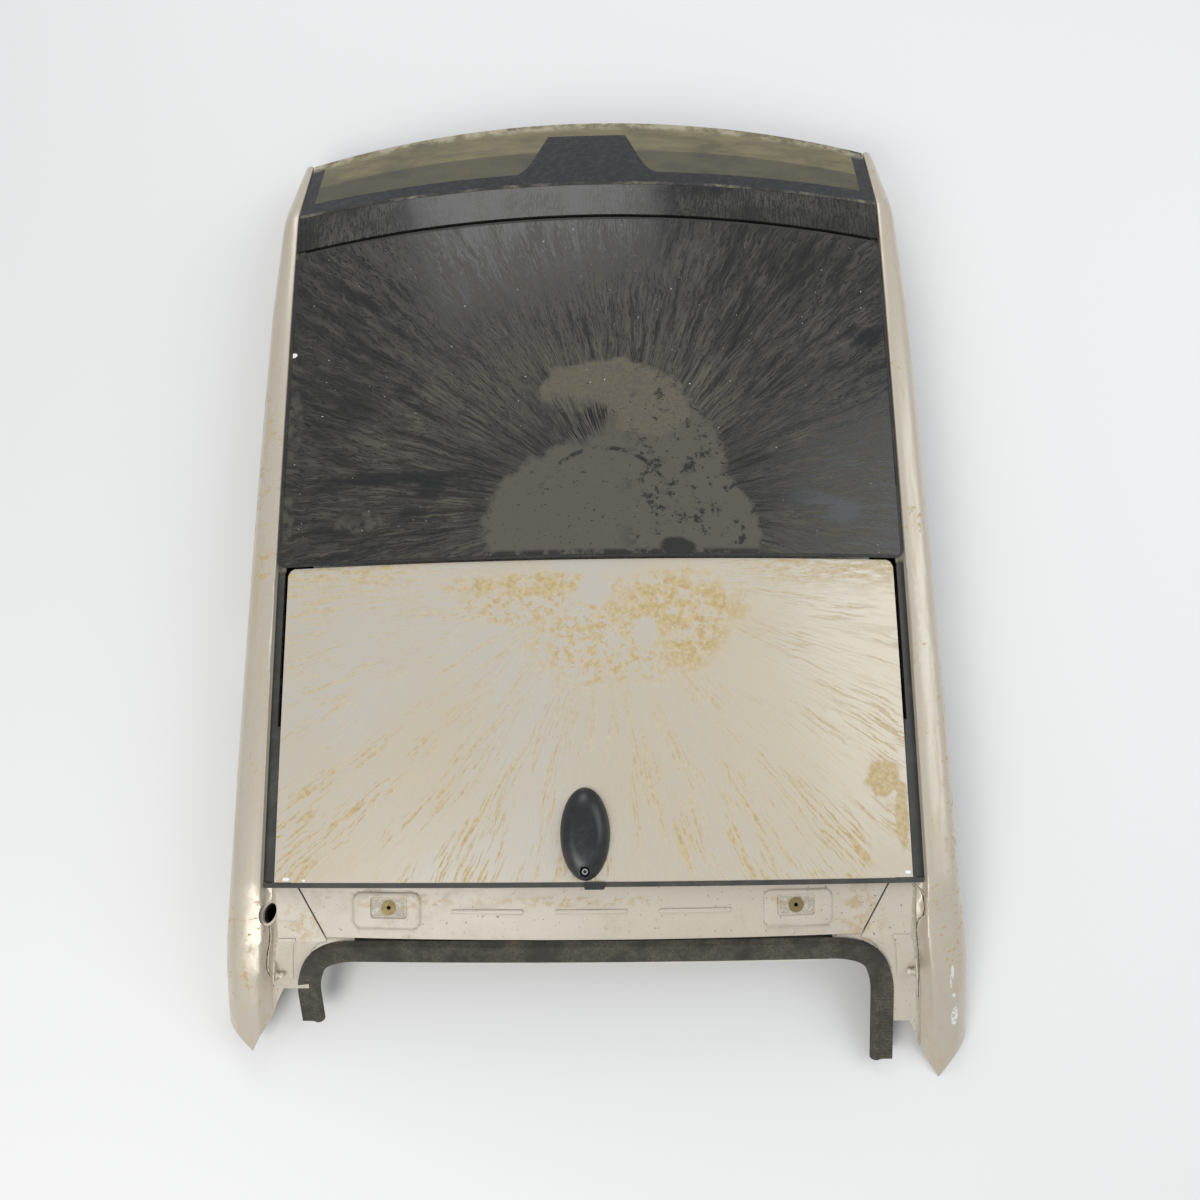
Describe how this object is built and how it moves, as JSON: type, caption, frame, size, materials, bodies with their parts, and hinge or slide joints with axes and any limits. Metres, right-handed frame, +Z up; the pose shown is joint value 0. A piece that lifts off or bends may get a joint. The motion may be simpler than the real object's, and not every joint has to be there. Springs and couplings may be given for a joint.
{
  "type": "car roof section with sunroof",
  "caption": "Cut-out car roof section with tilt-and-slide glass sunroof, wind deflector, sunshade, windscreen strip, rear header and pillar stubs.",
  "frame": {"origin": "middle of the bounding box on the surface that the section rests on", "axes": "+X to the car's right, +Y to the front of the car, +Z up"},
  "size_m": [1.3312, 1.8398, 0.2349],
  "materials": {
    "body_paint": "champagne metallic paint, weathered",
    "inner_steel": "primed and colour-coated sheet steel",
    "roof_glass": "very dark toughened glass",
    "panel_glass": "black printed glass",
    "screen_glass": "laminated glass with black printed border",
    "black_rubber": "moulded rubber",
    "adhesive": "cured body adhesive",
    "black_plastic": "fine-grained moulded plastic",
    "antenna_shell": "smooth black plastic",
    "rail_alloy": "extruded, clear anodised",
    "bar_alloy": "extruded, black anodised",
    "plated_steel": "zinc plated",
    "yellow_zinc": "yellow passivated zinc",
    "slide_plastic": "natural acetal",
    "shade_cloth": "cloth-covered board",
    "motor_can": "drawn steel"
  },
  "bodies": {
    "roof_section": {"antenna_base": "antenna_shell", "antenna_gasket": "black_rubber", "antenna_stud": "plated_steel", "antenna_tab": "black_plastic", "ball_studs": "plated_steel", "bow_mastic": "adhesive", "cable_guides": "plated_steel", "corner_channel_left": "body_paint", "corner_channel_right": "body_paint", "corner_ring_left": "body_paint", "deflector_pivots": "plated_steel", "drain_spigots": "black_plastic", "drive_motor": "motor_can", "front_frame": "black_plastic", "front_header": "inner_steel", "front_header_inner": "inner_steel", "front_panel": "panel_glass", "front_panel_tape": "adhesive", "front_seal": "black_rubber", "gear_housing": "black_plastic", "guide_hangers": "inner_steel", "guide_rail_left": "rail_alloy", "guide_rail_right": "rail_alloy", "hinge_inserts": "yellow_zinc", "inner_rail_left": "inner_steel", "inner_rail_right": "inner_steel", "motor_screws": "plated_steel", "rear_frame": "black_plastic", "rear_header": "body_paint", "rear_header_inner": "inner_steel", "rear_strip": "black_plastic", "roof_bow": "inner_steel", "roof_skin": "body_paint", "side_moulding_left": "black_rubber", "side_moulding_right": "black_rubber", "side_panel_left": "body_paint", "side_panel_right": "body_paint", "skin_front_beam": "inner_steel", "strut_bracket_left": "body_paint", "strut_bracket_right": "body_paint", "tailgate_seal": "black_rubber", "windscreen": "screen_glass", "windscreen_adhesive": "adhesive", "windscreen_moulding": "black_rubber"},
    "carriages": {"front_slide_left": "slide_plastic", "front_slide_right": "slide_plastic", "rear_slide_left": "slide_plastic", "rear_slide_right": "slide_plastic", "hinge_pins": "plated_steel"},
    "glass_panel": {"sunroof_glass": "roof_glass", "glass_rim": "black_rubber", "glass_bracket_left": "plated_steel", "glass_bracket_right": "plated_steel"},
    "left_lift_arm": {"lift_arm_left": "plated_steel"},
    "right_lift_arm": {"lift_arm_right": "plated_steel"},
    "deflector": {"wind_deflector": "bar_alloy"},
    "pinion": {"drive_pinion": "plated_steel"},
    "sunshade": {"sunshade_panel": "shade_cloth", "shade_runners": "black_plastic", "shade_handle": "black_plastic"}
  },
  "joints": [
    {"name": "panel_slide", "type": "slide", "parent": "roof_section", "child": "carriages", "axis": [0, -0.9999, 0.012], "range_m": [0, 0.33]},
    {"name": "panel_tilt", "type": "hinge", "parent": "carriages", "child": "glass_panel", "pos_m": [0, 0.58, 0.12485], "axis": [-1, 0, 0], "range_deg": [0, 4.5]},
    {"name": "lift_left", "type": "hinge", "parent": "carriages", "child": "left_lift_arm", "pos_m": [-0.548, 0.08, 0.13085], "axis": [1, 0, 0], "range_deg": [0, 38.75]},
    {"name": "lift_right", "type": "hinge", "parent": "carriages", "child": "right_lift_arm", "pos_m": [0.548, 0.08, 0.13085], "axis": [1, 0, 0], "range_deg": [0, 38.75]},
    {"name": "deflector_lift", "type": "hinge", "parent": "roof_section", "child": "deflector", "pos_m": [0, 0.514, 0.14264], "axis": [1, 0, 0], "range_deg": [0, 25.1]},
    {"name": "pinion_turn", "type": "hinge", "parent": "roof_section", "child": "pinion", "pos_m": [0, 0.644, 0.155], "axis": [0, 0, 1], "continuous": true},
    {"name": "shade_slide", "type": "slide", "parent": "roof_section", "child": "sunshade", "axis": [0, -0.9999, 0.012], "range_m": [0, 0.48]}
  ],
  "couplings": [
    {"joint": "lift_left", "follows": "panel_tilt", "ratio": 8.6},
    {"joint": "lift_right", "follows": "panel_tilt", "ratio": 8.6},
    {"joint": "deflector_lift", "follows": "panel_slide", "rad_per_m": 1.322},
    {"joint": "pinion_turn", "follows": "panel_slide", "rad_per_m": 125}
  ]
}
